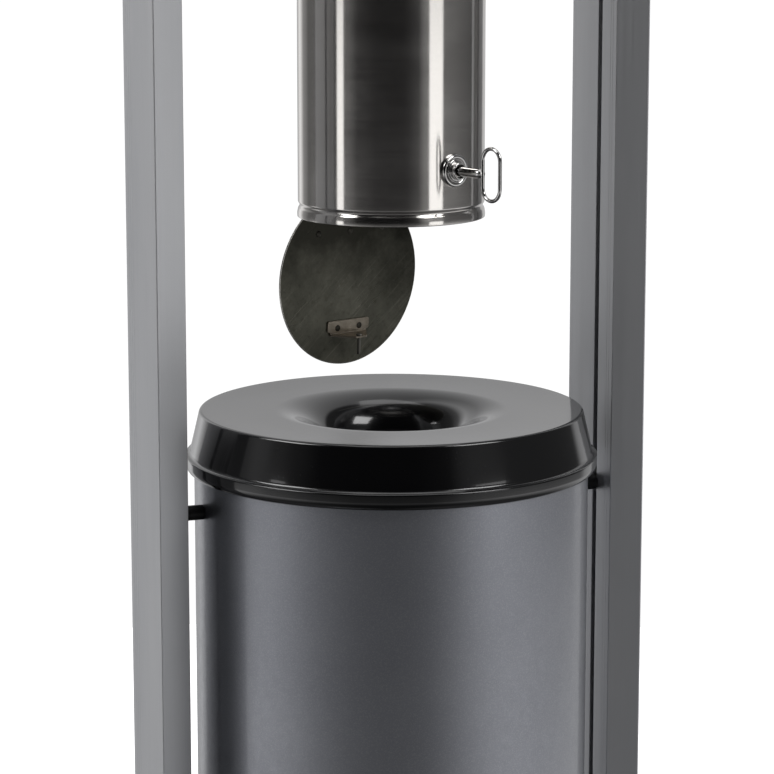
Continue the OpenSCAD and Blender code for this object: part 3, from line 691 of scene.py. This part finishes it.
fitted("catch_pin_turned", pin, leaf_finish, "flap", ["catch_pin"], hanging)


# ---------------------------------------------------------------- lock
# A cam lock in a chromed barrel, put through the tube from outside behind a dished rosette and
# drawn tight by a nut. Its plug shows a three-sided pin, and inside it turns a hooked cam.

def chromed(name, edge):
    """Bright chrome over polished brass, with hairlines and the odd finger mark."""
    finish = new_finish(name, metallic=1.0, base_color=(0.62, 0.61, 0.6, 1))
    marks = grain(finish, 260, detail=6, roughness=0.7)
    feed(finish, "Roughness", spread(finish, marks, 0.06, 0.22, 0.35, 0.75))
    relief(finish, [(grain(finish, 1.0, (3000, 300, 300), detail=2), 0.00001)], edge)
    return finish


chrome = chromed("lock_chrome", 0.0)
dark_steel = passivated("lock_steel", (0.3, 0.29, 0.28), (0.42, 0.41, 0.4), 0.32, 0.0003)
outward = Vector(joints["key_pull"]["axis"])
lock_at = frame_on(outward.cross((0, 0, 1)), joints["key_turn"]["pos_m"])
facing = lock_at @ Matrix.Rotation(-pi / 2, 4, "X")
low, high = seen_from(facing, "lock_rosette")
rim, face, bore_r, seat_r, seat_z = high.x, high.z, 0.0073, 0.0085, high.z - 0.0012
roll_r, roll_tall, hollow_r, hollow_deep, lip_round = 0.0021, 0.0019, 0.0011, 0.0009, 0.0006
rosette = turned(
    [(bore_r, low.z), (rim - 0.0002, low.z), (rim, face - 0.0022)]
    + arc(rim - roll_r, face - roll_tall, roll_r, roll_tall, 0, 140, 14)
    + arc(rim - 0.0045, face - 0.0002, hollow_r, hollow_deep, 250, 290, 3)[::-1]
    + [(0.0094, face - 0.0008)]
    + arc(0.0092, face - lip_round, lip_round, lip_round, 40, 180, 6)
    + [(seat_r, seat_z), (bore_r, seat_z)], 96)
fitted("lock_rosette_dish", rosette, chrome, "frame", ["lock_rosette"], facing, 30)
low, high = seen_from(facing, "lock_body")
barrel_r, recess_r, plug_r, recess_z = 0.0072, 0.0058, 0.005, 0.077
thread_deep, half_pitch, thread_end = 0.0005, 0.0005, low.z + 0.012
collar_r, collar_low, nose_round, mouth_round = 0.0082, face - 0.0007, 0.0009, 0.0003
thread = [(barrel_r - (thread_deep if i % 2 == 0 else 0), low.z + half_pitch * i) for i in range(24)]
barrel = turned(
    [(plug_r, low.z)] + thread
    + [(barrel_r, thread_end + 0.0003), (barrel_r, collar_low), (collar_r, collar_low)]
    + arc(0.0079, face + 0.0003, 0.0005, 0.0005, 0, 90, 4)
    + [(barrel_r + 0.0001, face + 0.0008), (barrel_r, face + 0.0011)]
    + arc(barrel_r - nose_round, high.z - nose_round, nose_round, nose_round, 0, 90, 6)
    + arc(recess_r + mouth_round, high.z - mouth_round, mouth_round, mouth_round, 90, 180, 3)
    + [(recess_r, recess_z), (plug_r, recess_z)], 80)
fitted("lock_barrel", barrel, chrome, "frame", ["lock_body"], facing, 30)
dress(["lock_nut", "cam_screw"], screw_zinc)
dress(["lock_cam"], passivated("cam_zinc", (0.5, 0.49, 0.46), (0.6, 0.58, 0.54), 0.33, 0.0004))
dress(["lock_plug"], dark_steel)


# ---------------------------------------------------------------- key
# A chromed socket key. The round shank is broached to fit the three-sided pin, and a bow of bent
# wire is welded across its other end.

def swept(path, radius, around=20):
    """Round wire bent along a closed path of points."""
    wire = bmesh.new()
    rings = []
    for i, point in enumerate(path):
        run = (path[(i + 1) % len(path)] - path[i - 1]).normalized()
        side = run.cross((1, 0, 0)).normalized()
        rings.append([wire.verts.new(point + radius * (side * cos(2 * pi * k / around)
                                                       + Vector((1, 0, 0)) * sin(2 * pi * k / around)))
                      for k in range(around)])
    for low, high in zip(rings, rings[1:] + rings[:1]):
        for k in range(around):
            n = (k + 1) % around
            wire.faces.new((low[k], low[n], high[n], high[k]))
    bmesh.ops.recalc_face_normals(wire, faces=wire.faces)
    mesh = bpy.data.meshes.new("wire")
    wire.to_mesh(mesh)
    wire.free()
    return mesh


low, high = seen_from(facing, "key")
shank_r, socket_deep, tri_r, wire_r, bow_r, bow_half = 0.004, 0.0085, 0.0033, 0.0016, 0.0102, 0.011
triangle = soften([(tri_r * cos(a), tri_r * sin(a), 0.0003) for a in (0, 2 * pi / 3, 4 * pi / 3)], 2)
sleeve = cut_sheet([arc(0, 0, shank_r, shank_r, 0, 354, 59), triangle], socket_deep, 0.0004)
sleeve.transform(Matrix.Translation((0, 0, low.z)))
bow_mid = high.z - bow_r - wire_r
shank_low, shank_end = low.z + socket_deep - 0.0002, bow_mid - bow_r + wire_r * 0.6
neck_z, neck_r = low.z + 0.0285, wire_r + 0.0006
shank = turned(
    [(0, shank_low), (shank_r, shank_low), (shank_r, neck_z)]
    + arc(neck_r, neck_z, shank_r - neck_r, 0.004, 0, 70, 8)
    + [(neck_r, shank_end - 0.0004), (0, shank_end)], 60)
loop = [Vector((0, aside + y, bow_mid + z)) for aside, first in ((bow_half, 0), (-bow_half, 180))
        for z, y in arc(0, 0, bow_r, bow_r, first, first + 180, 30)]
fitted("socket_key", joined([sleeve, shank, swept(loop, wire_r)]), chrome, "key",
       ["key"], facing, 35)


# ---------------------------------------------------------------- studio
# A round pale floor that brightens to its rim, in a soft room: dark in front, grey at the sides
# and white behind. To each side of the front there is a low strip of light and a high panel, and
# one more panel hangs overhead.

def glowing_floor():
    """Pale matt paint with a glow of its own that rises towards the rim."""
    finish = new_finish("pale_floor", base_color=(0.8, 0.8, 0.8, 1), roughness=0.7)
    place = node(finish, "ShaderNodeTexCoord").outputs["Object"]
    away = node(finish, "ShaderNodeVectorMath", [(0, place)], operation="LENGTH").outputs["Value"]
    feed(finish, "Emission Strength", spread(finish, away, 0.3, 1.0, 0.35, 0.76))
    shader_of(finish).inputs["Emission Color"].default_value = (1, 1, 1, 1)
    return finish


floor_r, floor_t, floor_edge = 1.4, 0.01, 0.002
floor = bpy.data.objects.new("floor", turned(soften([
    (0, -floor_t, 0), (floor_r, -floor_t, 0), (floor_r, 0.0, floor_edge), (0, 0.0, 0)]), 128))
floor.data.materials.append(glowing_floor())
bpy.context.scene.collection.objects.link(floor)
floor.visible_glossy = floor.visible_diffuse = floor.visible_shadow = False

# The side that the station is seen from, in degrees from -Y towards +X.
front = -20.0
world = bpy.data.worlds.new("studio")
bpy.context.scene.world = world
world.use_nodes = True
world.node_tree.nodes.clear()


def sky(kind, inputs=(), **settings):
    """Adds a node to the room; inputs work as they do for a finish."""
    return node(world, kind, inputs, **settings)


def around_the_room(stops):
    """Brightness by angle from the front, from -180 to 180, positive to the right."""
    turned_front = sky("ShaderNodeMapping", [
        ("Vector", outlook), ("Rotation", (0, 0, radians(90 - front)))])
    circle = sky("ShaderNodeTexGradient", [(0, turned_front.outputs[0])], gradient_type="RADIAL")
    shades = sky("ShaderNodeValToRGB", [(0, circle.outputs["Fac"])])
    ramp = shades.color_ramp.elements
    for angle, tone in stops[1:-1]:
        ramp.new(0.5 + angle / 360)
    for stop, (angle, tone) in zip(ramp, stops):
        stop.position = 0.5 + angle / 360
        stop.color = (tone, tone, tone * 1.01, 1)
    return shades.outputs[0]


outlook = sky("ShaderNodeTexCoord").outputs["Generated"]
walls = around_the_room((
    (-180, 0.54), (-172, 0.52), (-165, 0.48), (-157, 0.72), (-150, 1.1), (-143, 0.78), (-137, 0.34),
    (-128, 0.25), (-122, 0.14), (-108, 0.13), (-98, 0.12), (-90, 0.22), (-84, 0.34), (-76, 0.3),
    (-71, 0.13), (-52, 0.07), (-42, 0.012), (-15, 0.005), (15, 0.005), (34, 0.03), (40, 0.15),
    (46, 0.2), (68, 0.13), (126, 0.08), (131, 0.07), (137, 0.62), (160, 0.6), (180, 0.56)))
ground = around_the_room((
    (-180, 0.5), (-160, 0.5), (-150, 1.05), (-144, 0.8), (-136, 0.24), (-126, 0.22), (-116, 1.1),
    (-95, 1.3), (-60, 1.0), (-42, 0.6), (-20, 0.33), (0, 0.29), (22, 0.31), (55, 1.0), (70, 1.3),
    (84, 1.3), (97, 1.1), (130, 0.8), (148, 0.65), (180, 0.55)))
height = sky("ShaderNodeSeparateXYZ", [(0, outlook)]).outputs["Z"]
level = sky("ShaderNodeMapRange", [("Value", height), ("From Min", -0.3), ("From Max", -0.17)])
blend = sky("ShaderNodeMix", [(0, level.outputs[0]), (6, ground), (7, walls)], data_type="RGBA")
deep = sky("ShaderNodeMapRange", [
    ("Value", height), ("From Min", -0.65), ("From Max", -0.32), ("To Min", 0.12)])
room = sky("ShaderNodeBackground", [("Color", blend.outputs[2]), ("Strength", deep.outputs[0])])
white = sky("ShaderNodeBackground", [("Color", (1, 1, 1, 1)), ("Strength", 1.05)])
seen = sky("ShaderNodeLightPath").outputs["Is Camera Ray"]
choose = sky("ShaderNodeMixShader", [(0, seen), (1, room.outputs[0]), (2, white.outputs[0])])
sky("ShaderNodeOutputWorld", [(0, choose.outputs[0])])


def panel(name, azimuth, away, height, width, tall, glow):
    """A soft panel of light that faces the middle of the station; glow is its brightness.
    azimuth is in degrees from -Y towards +X."""
    highest_aim = 0.7
    lamp = bpy.data.lights.new(name, "AREA")
    lamp.shape = "RECTANGLE"
    lamp.size, lamp.size_y = width, tall
    lamp.energy = glow * pi * width * tall
    holder = bpy.data.objects.new(name, lamp)
    bpy.context.scene.collection.objects.link(holder)
    turned_to = radians(azimuth)
    holder.location = (away * sin(turned_to), -away * cos(turned_to), height)
    aim = Vector((0, 0, min(height, highest_aim))) - holder.location
    holder.rotation_euler = aim.to_track_quat("-Z", "Y").to_euler()
    holder.visible_camera = False


panel("left_strip", front - 64, away=2.6, height=0.52, width=0.42, tall=0.66, glow=1.6)
panel("right_strip", front + 55.8, away=2.6, height=0.52, width=0.84, tall=0.66, glow=1.65)
panel("left_high", front - 72, away=2.0, height=2.3, width=1.3, tall=1.0, glow=6.0)
panel("right_high", front + 58, away=2.0, height=2.3, width=1.15, tall=1.0, glow=6.0)
panel("overhead", 0, away=0, height=2.6, width=1.6, tall=1.6, glow=1.2)

camera = bpy.data.objects.new("camera", bpy.data.cameras.new("camera"))
bpy.context.scene.collection.objects.link(camera)
bpy.context.scene.camera = camera
camera.data.lens, camera.data.sensor_width = 138.7, 36
reach, eye_height, aim_height, aim_aside = 2.487, 1.040, 0.5776, -0.0035
camera.location = (reach * sin(radians(front)), -reach * cos(radians(front)), eye_height)
aim = Vector((aim_aside * cos(radians(front)), aim_aside * sin(radians(front)), aim_height))
camera.rotation_euler = (aim - camera.location).to_track_quat("-Z", "Y").to_euler()
bpy.context.scene.view_settings.view_transform = "Standard"
bpy.context.scene.view_settings.look = "None"
